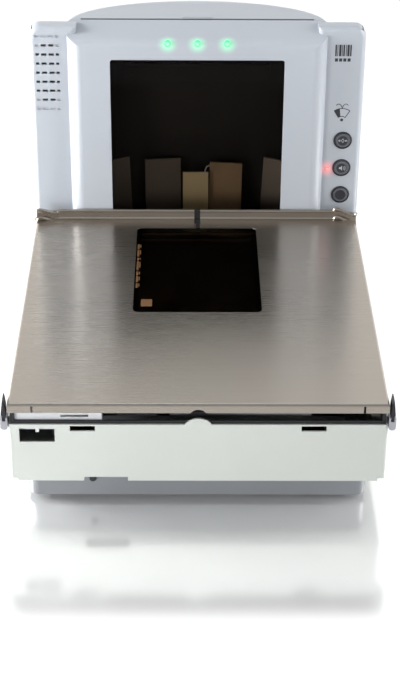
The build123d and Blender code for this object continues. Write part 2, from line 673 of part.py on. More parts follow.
with BuildPart() as tower_front_bezel:
    for side in (-1, 1):
        block(
            *sorted((side * (core_half_width - 8), side * wing_half_width)), wing_face, wing_back,
            tower_bottom - 8, tower_top - 0.2,
        )
    fillet(tower_front_bezel.edges().filter_by(Axis.Y).group_by(Axis.X)[0].sort_by(Axis.Z)[-1:], wing_corner)
    fillet(tower_front_bezel.edges().filter_by(Axis.Y).group_by(Axis.X)[-1].sort_by(Axis.Z)[-1:], wing_corner)
    fillet(tower_front_bezel.faces().group_by(Axis.Y)[0].edges(), wing_edge_radius)
    block(-half_width - 3, half_width + 3, tower_face - 1, back, 0, tower_bottom, mode=Mode.SUBTRACT)
    add(outer_core)
    block(-120, 120, seam_y, back + 1, tower_bottom - 1, tower_top + 1, mode=Mode.SUBTRACT)
    add(inner_core, mode=Mode.SUBTRACT)
    for side in (-1, 1):
        block(
            *sorted((side * core_half_width, side * wing_inner_x)), wing_face + wing_wall, wing_back + 1,
            tower_bottom + wing_wall, tower_top - 0.2 - wing_wall, mode=Mode.SUBTRACT,
        )
        for boss_z in (96, 273):
            along_y(side * 129, boss_z, wing_face + wing_wall, wing_back - 2.3, 3.5)
            along_y(side * 129, boss_z, wing_back - 6.5, wing_back, 1.3, mode=Mode.SUBTRACT)
    # window
    with BuildSketch(Plane.XZ.offset(-tower_face + 1)):
        with Locations((0, (view_bottom + view_top) / 2)):
            RectangleRounded(2 * view_half_width, view_top - view_bottom, 2.5)
    extrude(amount=-tower_wall - 2, mode=Mode.SUBTRACT)
    # dark line between bezel and cover, on top
    block(-103, 103, seam_y - 2.8, seam_y + 1, tower_top - 1.8, tower_top + 1, mode=Mode.SUBTRACT)
    # lamps, buttons and status lamp
    for lamp in (-1, 0, 1):
        along_y(lamp * lamp_spacing, lamp_height, tower_face - 2, 130, lamp_radius + 0.05, mode=Mode.SUBTRACT)
    for height in button_heights.values():
        along_y(button_x, height, wing_face - 1, wing_face + wing_wall + 1, button_bore, mode=Mode.SUBTRACT)
    along_y(*status_lamp, wing_face - 1, wing_face + wing_wall + 1, 1.8, mode=Mode.SUBTRACT)
    # loudspeaker grille: the outer rows are only grooves
    for row in range(grille_rows):
        row_z = grille_top - row * grille_pitch
        for cell, (cell_x, cell_width_x) in enumerate(grille_cells):
            pierced = 2 <= row <= grille_rows - 3 or (row in (1, grille_rows - 2) and cell in (1, 2))
            depth = wing_wall + 1 if pierced else 0.8
            block(
                cell_x - cell_width_x / 2, cell_x + cell_width_x / 2, wing_face - 1, wing_face + depth,
                row_z - grille_slot_height / 2, row_z + grille_slot_height / 2, mode=Mode.SUBTRACT,
            )

with BuildPart() as tower_rear_cover:
    add(outer_core)
    add(inner_core, mode=Mode.SUBTRACT)
    block(-120, 120, tower_face - 5, seam_y + 0.25, tower_bottom - 1, tower_top + 1, mode=Mode.SUBTRACT)
    # cooling slots
    with Locations((0, back - 4, 112)):
        with GridLocations(9, 1, 9, 1):
            Box(4, 16, 26, mode=Mode.SUBTRACT)

with BuildPart() as cover_tab:
    with BuildSketch(Plane.XY.offset(tower_top)):
        with Locations((0, seam_y + 0.25)):
            Ellipse(13.3, 7.5)
            with Locations((0, -5)):
                Rectangle(40, 10, mode=Mode.SUBTRACT)
    extrude(amount=1.2)
    fillet(cover_tab.edges().group_by(Axis.Z)[-1].sort_by(Axis.Y)[-1:], 0.8)

with BuildPart() as wing_back_panels:
    for side in (-1, 1):
        block(
            *sorted((side * (core_half_width + 0.2), side * (wing_inner_x - 0.2))),
            wing_back - 2.3, wing_back, tower_bottom + wing_wall + 0.2, tower_top - wing_wall - 0.4,
        )
        for boss_z in (96, 273):
            along_y(side * 129, boss_z, wing_back - 3, wing_back + 1, 1.6, mode=Mode.SUBTRACT)

with BuildPart() as wing_screws:
    for side in (-1, 1):
        for boss_z in (96, 273):
            along_y(side * 129, boss_z, wing_back, wing_back + 1.6, 2.8)
            along_y(side * 129, boss_z, wing_back - 6, wing_back, 1.25)
            with Locations((side * 129, wing_back + 1.5, boss_z)):
                Box(3.6, 1.2, 0.8, mode=Mode.SUBTRACT)
                Box(0.8, 1.2, 3.6, mode=Mode.SUBTRACT)

# ---------------------------------------------------------------- tower window and mirrors
window_y = tower_face + tower_wall + 0.1
with BuildPart() as vertical_window:
    with BuildSketch(Plane.XZ.offset(-window_y)):
        with Locations((0, 179.5)):
            RectangleRounded(162, 159, 3)
    extrude(amount=-3)

with BuildPart() as vertical_window_gasket:
    with BuildSketch(Plane.XZ.offset(-window_y - 3.05)):
        with Locations((0, 179.5)):
            RectangleRounded(168, 165, 4)
        with Locations((0, 179.5)):
            RectangleRounded(155, 151, 3, mode=Mode.SUBTRACT)
    extrude(amount=-2.8)

chassis_front = 131.0
chassis_floor = tower_bottom + 2.0
with BuildPart() as tower_chassis:
    block(-88, 88, chassis_front, 172, tower_bottom, 262)
    block(-86, 86, chassis_front - 1, 170, chassis_floor, 260, mode=Mode.SUBTRACT)
    block(-60, 60, 133, 143, tower_bottom - 1, chassis_floor + 1, mode=Mode.SUBTRACT)


def standing_mirror(x, y, width, height, tilt, yaw=0.0, thickness=3.0):
    """Mirror that stands on the chassis floor."""
    lift = height / 2 * cos(radians(tilt)) + thickness / 2 * sin(radians(tilt))
    tilted_plate(x, y, chassis_floor + lift, width, height, tilt, yaw, thickness)


with BuildPart() as tower_mirror_centre:
    standing_mirror(-0.8, 151, 23.5, 46, 8)

with BuildPart() as tower_mirror_right:
    standing_mirror(27, 156, 30, 53, 8, yaw=-6)

with BuildPart() as tower_mirror_left:
    standing_mirror(-31, 158, 33, 56, 8, yaw=6)

with BuildPart() as tower_mirrors_outer:
    for side in (-1, 1):
        standing_mirror(side * 70, 150, 20, 60, 6, yaw=side * -28)

with BuildPart() as tower_mirror_top:
    tilted_plate(0, 152, 232, 130, 44, -50)

# ---------------------------------------------------------------- lamps
with BuildPart() as green_light_pipes:
    for lamp in (-1, 0, 1):
        along_y(lamp * lamp_spacing, lamp_height, tower_face - 0.2, 129.9, lamp_radius)
    fillet(green_light_pipes.edges().group_by(Axis.Y)[0], 1.4)

with BuildPart() as lamp_board:
    block(-34, 34, 130, 131.6, 262.6, 270)
    for lamp in (-1, 0, 1):
        block(lamp * lamp_spacing - 1.5, lamp * lamp_spacing + 1.5, 131.6, 132.6, 264, 267)

with BuildPart() as status_lamp_lens:
    along_y(*status_lamp, wing_face - 0.7, wing_face + wing_wall + 2, 1.75)
    fillet(status_lamp_lens.edges().group_by(Axis.Y)[0], 1.0)

# ---------------------------------------------------------------- buttons
with BuildPart() as button_rings:
    for height in button_heights.values():
        along_y(button_x, height, wing_face - 1.0, wing_face, 8.4)
    fillet(button_rings.edges().group_by(Axis.Y)[0], 0.6)
    for height in button_heights.values():
        along_y(button_x, height, wing_face - 2, wing_face + 1, button_bore, mode=Mode.SUBTRACT)


def button_cap(z):
    """Button with a dished face, a retaining flange behind the wing's wall and a stem."""
    along_y(button_x, z, wing_face - 1.4, wing_face + wing_wall + 0.25, button_radius)
    along_y(button_x, z, wing_face + wing_wall + 0.25, wing_face + wing_wall + 1.15, 8.2)
    along_y(button_x, z, wing_face + wing_wall + 1.15, wing_face + wing_wall + 1.7, 2)
    with Locations((button_x, wing_face - 1.4 - 29.58, z)):
        Sphere(30, mode=Mode.SUBTRACT)


with BuildPart() as zero_button:
    button_cap(button_heights["zero_button"])
    fillet(zero_button.edges().group_by(Axis.Y)[0].sort_by(SortBy.RADIUS)[-1:], 0.5)

with BuildPart() as volume_button:
    button_cap(button_heights["volume_button"])
    fillet(volume_button.edges().group_by(Axis.Y)[0].sort_by(SortBy.RADIUS)[-1:], 0.5)

with BuildPart() as power_button:
    button_cap(button_heights["power_button"])
    fillet(power_button.edges().group_by(Axis.Y)[0].sort_by(SortBy.RADIUS)[-1:], 0.5)

switch_front = wing_face + wing_wall + 1.7 + button_travel + 0.15
with BuildPart() as button_board:
    block(115, 143, 139.5, 141.1, 108, 188)
    for height in button_heights.values():
        block(button_x - 3, button_x + 3, switch_front, 139.5, height - 3, height + 3)

# ---------------------------------------------------------------- loudspeaker
speaker_x = -131.0
speaker_z = 238.5
with BuildPart() as speaker_frame:
    with BuildSketch(Plane.XZ.offset(-(wing_face + wing_wall + 0.3))):
        with Locations((speaker_x, speaker_z)):
            SlotOverall(56, 25, rotation=90)
            SlotOverall(50, 19, rotation=90, mode=Mode.SUBTRACT)
    extrude(amount=-2.2)
    with BuildSketch(Plane.XZ.offset(-(wing_face + wing_wall + 2.5))):
        with Locations((speaker_x, speaker_z)):
            SlotOverall(54, 23, rotation=90)
    extrude(amount=-1.2)
    along_y(speaker_x, speaker_z, wing_face + wing_wall + 3.7, wing_back - 2.6, 9)

with BuildPart() as speaker_cone:
    with BuildSketch(Plane.XZ.offset(-(wing_face + wing_wall + 0.8))):
        with Locations((speaker_x, speaker_z)):
            SlotOverall(49.6, 18.6, rotation=90)
    extrude(amount=-1.6)
    with Locations((speaker_x, wing_face + wing_wall + 0.8, speaker_z)):
        Sphere(5, mode=Mode.SUBTRACT)

# ---------------------------------------------------------------- lead from the load cell to the main board
lead_radius = 1.6
with BuildPart() as load_cell_lead:
    with BuildLine() as lead_route:
        FilletPolyline(
            (-65, cell_y, 66), (-84, cell_y, 66), (-84, cell_y - 28, 58), (-84, cell_y - 28, 34),
            (-84, cell_y - 10, 20), (-84, cell_y - 10, pan_floor_top + 9),
            radius=6,
        )
    with BuildSketch(Plane(origin=lead_route.line @ 0, z_dir=lead_route.line % 0)):
        Circle(lead_radius)
    sweep(path=lead_route.line)

# ---------------------------------------------------------------- write the pieces
pieces = {
    "rubber_feet": rubber_feet,
    "base_pan": base_pan,
    "base_screws": base_screws,
    "ground_screw": ground_screw,
    "body_shell": body_shell,
    "rim_gasket": rim_gasket,
    "optics_deck": optics_deck,
    "lower_window_gasket": lower_window_gasket,
    "lower_window": lower_window,
    "eas_coil": eas_coil,
    "optics_tray": optics_tray,
    "spinner_motor": spinner_motor,
    "polygon_spinner": polygon_spinner,
    "laser_module": laser_module,
    "collector_mirror": collector_mirror,
    "photodiode_board": photodiode_board,
    "lower_mirrors": lower_mirrors,
    "main_board": main_board,
    "io_board": io_board,
    "data_ports": data_ports,
    "power_socket": power_socket,
    "port_panel": port_panel,
    "load_cell_bracket": load_cell_bracket,
    "load_cell": load_cell,
    "load_cell_bolts": load_cell_bolts,
    "load_cell_lead": load_cell_lead,
    "scale_spider": scale_spider,
    "spider_pads": spider_pads,
    "scale_stop_bracket": scale_stop_bracket,
    "scale_beam": scale_beam,
    "corner_brackets": corner_brackets,
    "corner_bumpers": corner_bumpers,
    "top_plate": top_plate,
    "window_frame": window_frame,
    "horizontal_window": horizontal_window,
    "eas_gap_insert": eas_gap_insert,
    "tower_mount_plate": tower_mount_plate,
    "tower_front_bezel": tower_front_bezel,
    "tower_rear_cover": tower_rear_cover,
    "cover_tab": cover_tab,
    "wing_back_panels": wing_back_panels,
    "wing_screws": wing_screws,
    "vertical_window": vertical_window,
    "vertical_window_gasket": vertical_window_gasket,
    "tower_chassis": tower_chassis,
    "tower_mirror_centre": tower_mirror_centre,
    "tower_mirror_right": tower_mirror_right,
    "tower_mirror_left": tower_mirror_left,
    "tower_mirrors_outer": tower_mirrors_outer,
    "tower_mirror_top": tower_mirror_top,
    "green_light_pipes": green_light_pipes,
    "lamp_board": lamp_board,
    "status_lamp_lens": status_lamp_lens,
    "button_rings": button_rings,
    "zero_button": zero_button,
    "volume_button": volume_button,
    "power_button": power_button,
    "button_board": button_board,
    "speaker_frame": speaker_frame,
    "speaker_cone": speaker_cone,
}
for name, piece in pieces.items():
    piece.part.label = name
    export_step(piece.part, f"parts/{name}.step")
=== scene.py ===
"""Looks of the checkout scanner: finishes, printed marks, studio and camera."""
import json
import math

import bmesh
import bpy
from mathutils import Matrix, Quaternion, Vector
from mathutils.bvhtree import BVHTree


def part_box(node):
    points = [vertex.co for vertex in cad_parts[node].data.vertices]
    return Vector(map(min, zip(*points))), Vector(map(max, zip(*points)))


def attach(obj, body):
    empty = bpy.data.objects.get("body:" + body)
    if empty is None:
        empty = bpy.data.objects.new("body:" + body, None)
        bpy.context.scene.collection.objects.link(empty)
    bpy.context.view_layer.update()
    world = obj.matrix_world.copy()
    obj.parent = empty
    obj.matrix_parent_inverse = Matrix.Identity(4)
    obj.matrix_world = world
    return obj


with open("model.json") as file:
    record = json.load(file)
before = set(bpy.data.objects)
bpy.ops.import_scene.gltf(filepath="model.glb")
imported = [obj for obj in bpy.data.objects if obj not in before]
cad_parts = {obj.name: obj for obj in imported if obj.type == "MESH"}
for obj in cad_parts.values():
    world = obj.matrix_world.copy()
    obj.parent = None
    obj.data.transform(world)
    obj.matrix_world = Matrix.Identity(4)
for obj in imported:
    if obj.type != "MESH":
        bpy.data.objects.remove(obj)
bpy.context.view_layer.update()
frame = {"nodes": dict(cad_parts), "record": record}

nodes = frame["nodes"]
MM = 0.001


# ---------------------------------------------------------------- material tools
def linear(value):
    """Scene-linear value of one 0-255 display level."""
    value /= 255
    return value / 12.92 if value <= 0.04045 else ((value + 0.055) / 1.055) ** 2.4


def tone(red, green, blue):
    """Scene-linear colour of three 0-255 display levels."""
    return (linear(red), linear(green), linear(blue), 1.0)


class Finish:
    """A material being put together: its node tree, its main shader and a few short cuts."""

    def __init__(self, name, colour, roughness, metallic=0.0, **sockets):
        self.material = bpy.data.materials.new(name)
        self.material.use_nodes = True
        self.tree = self.material.node_tree
        self.shader = self.tree.nodes["Principled BSDF"]
        self.shader.inputs["Base Color"].default_value = colour
        self.shader.inputs["Roughness"].default_value = roughness
        self.shader.inputs["Metallic"].default_value = metallic
        for socket, value in sockets.items():
            self.shader.inputs[socket.replace("_", " ")].default_value = value
        self.colour = colour

    def node(self, kind, inputs=None, **settings):
        """New node with its settings, and with inputs that are values or sockets."""
        made = self.tree.nodes.new(kind)
        for setting, value in settings.items():
            setattr(made, setting, value)
        for key, value in (inputs or {}).items():
            if isinstance(value, bpy.types.NodeSocket):
                self.tree.links.new(value, made.inputs[key])
            else:
                made.inputs[key].default_value = value
        return made

    def place(self, stretch=(1, 1, 1)):
        """Position on the piece, in metres, stretched along each axis."""
        coordinates = self.node("ShaderNodeTexCoord")
        mapping = self.node("ShaderNodeMapping", {"Vector": coordinates.outputs["Object"], "Scale": stretch})
        return mapping.outputs["Vector"]

    def noise(self, scale, detail=2.0, stretch=(1, 1, 1), roughness=0.5):
        """Cloudy value around 0.5; scale is in cells per metre."""
        made = self.node(
            "ShaderNodeTexNoise",
            {"Vector": self.place(stretch), "Scale": scale, "Detail": detail, "Roughness": roughness},
        )
        return made.outputs["Fac"]

    def spread(self, value, low, high, start=0.3, end=0.7):
        """Value mapped from start..end to low..high."""
        made = self.node(
            "ShaderNodeMapRange",
            {"Value": value, "From Min": start, "From Max": end, "To Min": low, "To Max": high},
        )
        return made.outputs["Result"]

    def mottle(self, value, amount):
        """Lightens and darkens the base colour by amount, following value."""
        darker = [channel * (1 - amount) for channel in self.colour[:3]] + [1]
        lighter = [min(1, channel * (1 + amount)) for channel in self.colour[:3]] + [1]
        made = self.node("ShaderNodeMix", data_type="RGBA")
        made.inputs[6].default_value = darker
        made.inputs[7].default_value = lighter
        self.tree.links.new(self.spread(value, 0, 1), made.inputs[0])
        self.tree.links.new(made.outputs[2], self.shader.inputs["Base Color"])
        return made.outputs[2]

    def polish(self, value, low, high):
        """Roughness that follows value between low and high."""
        self.tree.links.new(self.spread(value, low, high), self.shader.inputs["Roughness"])

    def bump(self, height, distance, strength=1.0):
        """Relief: distance is its depth in metres."""
        made = self.node("ShaderNodeBump", {"Height": height, "Strength": strength, "Distance": distance})
        self.tree.links.new(made.outputs["Normal"], self.shader.inputs["Normal"])
        return made


def moulded(name, colour, roughness=0.42, grain=900, depth=0.00001, even=False, **sockets):
    """Injection-moulded plastic: fine spark-eroded grain and faint flow marks; even for large clean faces."""
    finish = Finish(name, colour, roughness, **sockets)
    finish.mottle(finish.noise(5, 1) if even else finish.noise(18, 3), 0.012 if even else 0.025)
    finish.polish(finish.noise(6 if even else 60, 2), roughness - 0.02, roughness + (0.02 if even else 0.07))
    finish.bump(finish.noise(grain, 3), depth, 0.6)
    return finish


def painted(name, colour, roughness=0.45, peel=420, depth=0.00002, metallic=0.0):
    """Powder coat: orange peel over a slightly uneven colour."""
    finish = Finish(name, colour, roughness, metallic)
    finish.mottle(finish.noise(12, 3), 0.03)
    finish.polish(finish.noise(45, 4), roughness - 0.06, roughness + 0.08)
    finish.bump(finish.noise(peel, 2), depth, 0.5)
    return finish


def metal(name, colour, roughness, grain=300, depth=0.00002, stretch=(1, 1, 1), uneven=0.12):
    """Bare metal with a cast, plated or drawn surface."""
    finish = Finish(name, colour, roughness, 1.0)
    finish.mottle(finish.noise(25, 4, stretch), uneven)
    finish.polish(finish.noise(70, 4, stretch), roughness - 0.08, roughness + 0.1)
    finish.bump(finish.noise(grain, 3, stretch), depth, 0.6)
    return finish


def brushed_stainless():
    """Stainless sheet brushed along X: fine scratches, soft smears and a warm cast."""
    finish = Finish(
        "stainless", tone(182, 174, 164), 0.3, 1.0, Anisotropic=0.75, Anisotropic_Rotation=0.25
    )
    lines = finish.noise(3200, 3, (0.015, 1, 1))
    smears = finish.noise(7, 4, (0.6, 1, 1))
    finish.mottle(finish.noise(900, 3, (0.01, 1, 1)), 0.025)
    both = finish.node(
        "ShaderNodeMath", {0: finish.spread(lines, -0.03, 0.03), 1: finish.spread(smears, 0.25, 0.33)},
        operation="ADD",
    )
    finish.tree.links.new(both.outputs[0], finish.shader.inputs["Roughness"])
    along = finish.node("ShaderNodeCombineXYZ", {"X": 1.0})
    finish.tree.links.new(along.outputs[0], finish.shader.inputs["Tangent"])
    finish.bump(lines, 0.000003, 0.4)
    return finish


def glow_painted_plastic():
    """Front bezel: white plastic with a painted glow round its lamps, standing in for the light they spread
    into the wall.
    """
    finish = moulded("housing_white_front_painted_glow", WHITE, 0.3, 400, 0.000004, True)
    place = finish.place()
    glow = None
    for centre, reach, colour in painted_lamp_glows():
        offset = finish.node("ShaderNodeVectorMath", {0: place, 1: centre}, operation="DISTANCE")
        span = {"From Min": 0.0, "From Max": reach, "To Min": 1.0, "To Max": 0.0}
        near = finish.node(
            "ShaderNodeMapRange", {"Value": offset.outputs["Value"], **span}, interpolation_type="SMOOTHERSTEP",
        )
        part = finish.node(
            "ShaderNodeVectorMath", {0: colour, "Scale": near.outputs["Result"]}, operation="SCALE",
        )
        if glow is None:
            glow = part.outputs["Vector"]
        else:
            glow = finish.node("ShaderNodeVectorMath", {0: glow, 1: part.outputs["Vector"]}).outputs["Vector"]
    # painted light: the glow round each lamp is emission laid into the bezel wall
    finish.tree.links.new(glow, finish.shader.inputs["Emission Color"])
    finish.shader.inputs["Emission Strength"].default_value = 1.0
    return finish


def painted_lamp_glows():
    """(centre, reach, colour) of the painted glow round each lamp, in the bezel's wall."""
    glows = []
    for x in lamp_places():
        glows.append((x, 0.0115, (0.0, 0.5, 0.15)))
    low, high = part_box("status_lamp_lens")
    glows.append((Vector(((low.x + high.x) / 2, low.y, (low.z + high.z) / 2)), 0.0115, (0.5, 0.03, 0.025)))
    return glows


def lamp_places():
    """Centres of the three lamps' faces."""
    low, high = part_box("green_light_pipes")
    radius = (high.z - low.z) / 2
    ends = (low.x + radius, (low.x + high.x) / 2, high.x - radius)
    return [Vector((x, low.y, low.z + radius)) for x in ends]


def dusty_mirror(name, colour):
    """Mirror of the optics box, hazed by dust."""
    finish = moulded(name, colour, 0.32, 60, 0.000002)
    finish.shader.inputs["Metallic"].default_value = 0.25
    return finish


def lamp(name, core, rim, centres, radius, power):
    """Lit lens: a pale hot core that turns to the lamp's colour at its rim."""
    finish = Finish(name, rim, 0.25)
    place = finish.place()
    nearest = None
    for centre in centres:
        offset = finish.node("ShaderNodeVectorMath", {0: place, 1: centre}, operation="DISTANCE")
        value = offset.outputs["Value"]
        if nearest is None:
            nearest = value
        else:
            nearest = finish.node("ShaderNodeMath", {0: nearest, 1: value}, operation="MINIMUM").outputs[0]
    ramp = finish.node("ShaderNodeValToRGB", {"Fac": finish.spread(nearest, 0, 1, 0, radius)})
    ramp.color_ramp.elements[0].color = core
    ramp.color_ramp.elements[0].position = 0.15
    ramp.color_ramp.elements[1].color = rim
    finish.tree.links.new(ramp.outputs["Color"], finish.shader.inputs["Emission Color"])
    finish.shader.inputs["Emission Strength"].default_value = power
    return finish


def tinted_glass(name, through, index, streaks=0.02):
    """Coated scanner glass: dark and tinted looking in, mirror-like at a grazing view."""
    finish = Finish(name, through, 0.03)
    tree = finish.tree
    tree.nodes.remove(finish.shader)
    clear = finish.node("ShaderNodeBsdfTransparent", {"Color": through})
    gloss = finish.node("ShaderNodeBsdfGlossy", {"Color": (0.9, 0.92, 0.95, 1), "Roughness": 0.025})
    smudge = finish.node("ShaderNodeBsdfGlossy", {"Color": (0.9, 0.92, 0.95, 1), "Roughness": 0.25})
    wiped = finish.node(
        "ShaderNodeMixShader",
        {0: finish.spread(finish.noise(30, 5), 0, streaks * 6), 1: gloss.outputs[0], 2: smudge.outputs[0]},
    )
    edge = finish.node("ShaderNodeFresnel", {"IOR": index})
    mixed = finish.node("ShaderNodeMixShader", {0: edge.outputs[0], 1: clear.outputs[0], 2: wiped.outputs[0]})
    tree.links.new(mixed.outputs[0], tree.nodes["Material Output"].inputs["Surface"])
    return finish


WHITE = tone(160, 165, 172)
finishes = {
    "housing_white": moulded("housing_white", WHITE, 0.3, 400, 0.000004, True),
    # bezel finish with a painted glow of lamp light round its lamps
    "housing_white_front_painted_glow": glow_painted_plastic(),
    "body_paint": painted("body_paint", tone(192, 196, 191), 0.42),
    "stainless": brushed_stainless(),
    "scan_glass": tinted_glass("scan_glass", (0.72, 0.69, 0.66, 1), 1.14),
    "plate_glass": tinted_glass("plate_glass", (0.3, 0.2, 0.11, 1), 1.3),
    "lower_glass": tinted_glass("lower_glass", (0.75, 0.75, 0.75, 1), 1.3),
    "black_plastic": moulded("black_plastic", tone(16, 16, 17), 0.5, 700, 0.00002),
    "grey_plastic": moulded("grey_plastic", tone(78, 80, 88), 0.42, 800, 0.00002),
    "ring_plastic": moulded("ring_plastic", tone(34, 36, 42), 0.4, 800, 0.00002),
    "rubber_black": moulded("rubber_black", tone(24, 26, 30), 0.62, 500, 0.00004),
    # pan grey darkened to stand in for the soft shade under the unit: partly the pan's own paint, partly
    # painted shade
    "pan_paint": painted("pan_paint", tone(124, 127, 131), 0.38),
    "cast_aluminium": metal("cast_aluminium", tone(176, 178, 180), 0.42, 900, 0.00006),
    "zinc_steel": metal("zinc_steel", tone(180, 182, 188), 0.34, 500, 0.00002, (0.2, 1, 1)),
    "bracket_paint": painted("bracket_paint", tone(196, 199, 202), 0.4),
    "dark_steel": painted("dark_steel", tone(34, 35, 38), 0.45),
    "mirror_glass": metal("mirror_glass", tone(225, 222, 214), 0.16, 60, 0.000002, uneven=0.02),
    "mirror_frosted": dusty_mirror("mirror_frosted", tone(112, 106, 100)),
    # painted light: lighter copies of the dusty mirror for the two mirrors that catch light, cream for the
    # centre one and tan for the right one
    "mirror_painted_lit": dusty_mirror("mirror_painted_lit", tone(226, 212, 170)),
    "mirror_painted_dim": dusty_mirror("mirror_painted_dim", tone(168, 146, 118)),
    "circuit_green": moulded("circuit_green", tone(24, 74, 44), 0.38, 300, 0.00003),
    "cable_black": moulded("cable_black", tone(24, 24, 26), 0.5, 500, 0.00003),
    "coil_resin": moulded("coil_resin", tone(44, 44, 48), 0.5, 500, 0.00003),
    "paper_cone": moulded("paper_cone", tone(34, 33, 32), 0.9, 600, 0.00008),
    "lamp_green": lamp("lamp_green", tone(190, 255, 205), tone(50, 225, 110), lamp_places(), 0.0026, 1.1),
    "ink_dark": moulded("ink_dark", tone(30, 32, 38), 0.5),
    "ink_light": moulded("ink_light", tone(150, 154, 158), 0.5),
    "ink_amber": moulded("ink_amber", tone(88, 60, 32), 0.5),
}
low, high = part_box("status_lamp_lens")
finishes["lamp_red"] = lamp(
    "lamp_red", tone(255, 170, 155), tone(235, 60, 55),
    [Vector(((low.x + high.x) / 2, low.y, (low.z + high.z) / 2))], 0.0025, 1.3,
)


def finish_cad_nodes():
    """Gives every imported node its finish."""
    own = {
        "tower_front_bezel": "housing_white_front_painted_glow",
        "horizontal_window": "plate_glass",
        "button_rings": "ring_plastic",
        # these two mirrors get the painted-light copies of the mirror finish
        "tower_mirror_centre": "mirror_painted_lit",
        "tower_mirror_right": "mirror_painted_dim",
    }
    for row in frame["record"]["subparts"]:
        name = row["node"]
        piece = nodes[name]
        finish = finishes[own.get(name, row["material_slot"])].material
        if not piece.data.materials:
            piece.data.materials.append(finish)
        for index in range(len(piece.data.materials)):
            piece.material_slots[index].material = finish


finish_cad_nodes()


# ---------------------------------------------------------------- printed marks
FRONT = Vector((0, 1, 0))
DOWN = Vector((0, 0, -1))
FILM = 0.06 * MM             # thickness of printed ink
FILM_GAP = 0.02 * MM         # between the ink and the surface under it
MESH_STEP = 1.0 * MM         # longest edge of a printed film

# places and sizes of the marks, in mm
BARCODE_LEFT = 121.3
BARCODE_STEPS = (             # width of each bar, and the space after it
    (1.3, 0.6), (0.6, 0.9), (1.9, 0.6), (0.6, 0.6), (1.3, 1.0), (0.6, 0.6), (1.9, 0.6), (1.2, 0),
)
BARCODE_ROWS = (255.2, 265.8)
BARCODE_BLOCKS = (121.3, 125.0, 128.7, 132.4)
BARCODE_BLOCK_WIDTH = 2.7
BARCODE_BLOCK_ROWS = (250.2, 253.2)
CLEAN_SIGN = (129.9, 193.5)
KEY_DOTS = (("zero", 4.6), ("volume", 4.6), ("power", 2.5))
TICKS_BACK = 67.6
TICK_STEPS = (                # length of each tick, and the space after it
    (9, 1.6), (13, 2.2), (5, 1.4), (17, 2.2), (7, 1.5), (11, 2.0), (8, 0),
)
TICK_WIDE = (-52.6, -50.9)
TICK_NARROW = (-50.4, -49.4)
LABEL = (-47.4, -38, -45.6, -33.6)


def bar(left, right, low, high):
    return [(left, low), (right, low), (right, high), (left, high)]


def arc(x, z, radius, start, end, steps=24):
    """Points of an arc, from start to end in degrees."""
    angles = [math.radians(start + (end - start) * step / steps) for step in range(steps + 1)]
    return [(x + radius * math.cos(angle), z + radius * math.sin(angle)) for angle in angles]


def disc(x, z, radius):
    return arc(x, z, radius, 0, 360 - 360 / 24, 23)


def band(x, z, inner, outer, start=0, end=360):
    """Outline of a curved band."""
    return arc(x, z, outer, start, end, 36) + arc(x, z, inner, end, start, 36)


def stroke(points, width):
    """Outline of a line of the given width through points."""
    left, right = [], []
    for index, (x, z) in enumerate(points):
        before = points[max(index - 1, 0)]
        after = points[min(index + 1, len(points) - 1)]
        along = Vector((after[0] - before[0], after[1] - before[1])).normalized()
        left.append((x - along.y * width / 2, z + along.x * width / 2))
        right.append((x + along.y * width / 2, z - along.x * width / 2))
    return left + right[::-1]


def on_node(node, look, point):
    """Where a point, in mm across the view direction look, lands on a CAD node."""
    if node not in surfaces:
        mesh = nodes[node].data
        faces = [list(face.vertices) for face in mesh.polygons]
        surfaces[node] = BVHTree.FromPolygons([vertex.co for vertex in mesh.vertices], faces)
    across, up = point[0] * MM, point[1] * MM
    start = Vector((across, up, 0)) if look.z else Vector((across, 0, up))
    hit = surfaces[node].ray_cast(start - look, look)[0]
    return hit if hit else start


surfaces = {}


def printed(name, outlines, node, look, finish, body, layer=0):
    """Film of ink in the given outlines, in mm, laid on a CAD node as seen along look."""
    shape = bmesh.new()
    for outline in outlines:
        shape.faces.new([shape.verts.new((x * MM, y * MM, 0)) for x, y in outline])
    bmesh.ops.triangulate(shape, faces=shape.faces[:])
    for _ in range(5):
        long_edges = [edge for edge in shape.edges if edge.calc_length() > MESH_STEP]
        if not long_edges:
            break
        bmesh.ops.subdivide_edges(shape, edges=long_edges, cuts=1)
        bmesh.ops.triangulate(shape, faces=shape.faces[:])
    for vertex in shape.verts:
        point = on_node(node, look, (vertex.co.x / MM, vertex.co.y / MM))
        vertex.co = point - look * (FILM_GAP + layer * FILM)
    for face in shape.faces:
        face.normal_update()
        if face.normal.dot(look) > 0:
            face.normal_flip()
    bmesh.ops.solidify(shape, geom=shape.faces[:], thickness=-FILM)
    mesh = bpy.data.meshes.new(name)
    shape.to_mesh(mesh)
    shape.free()
    made = bpy.data.objects.new(name, mesh)
    bpy.context.scene.collection.objects.link(made)
    mesh.materials.append(finishes[finish].material)
    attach(made, body)
    return made


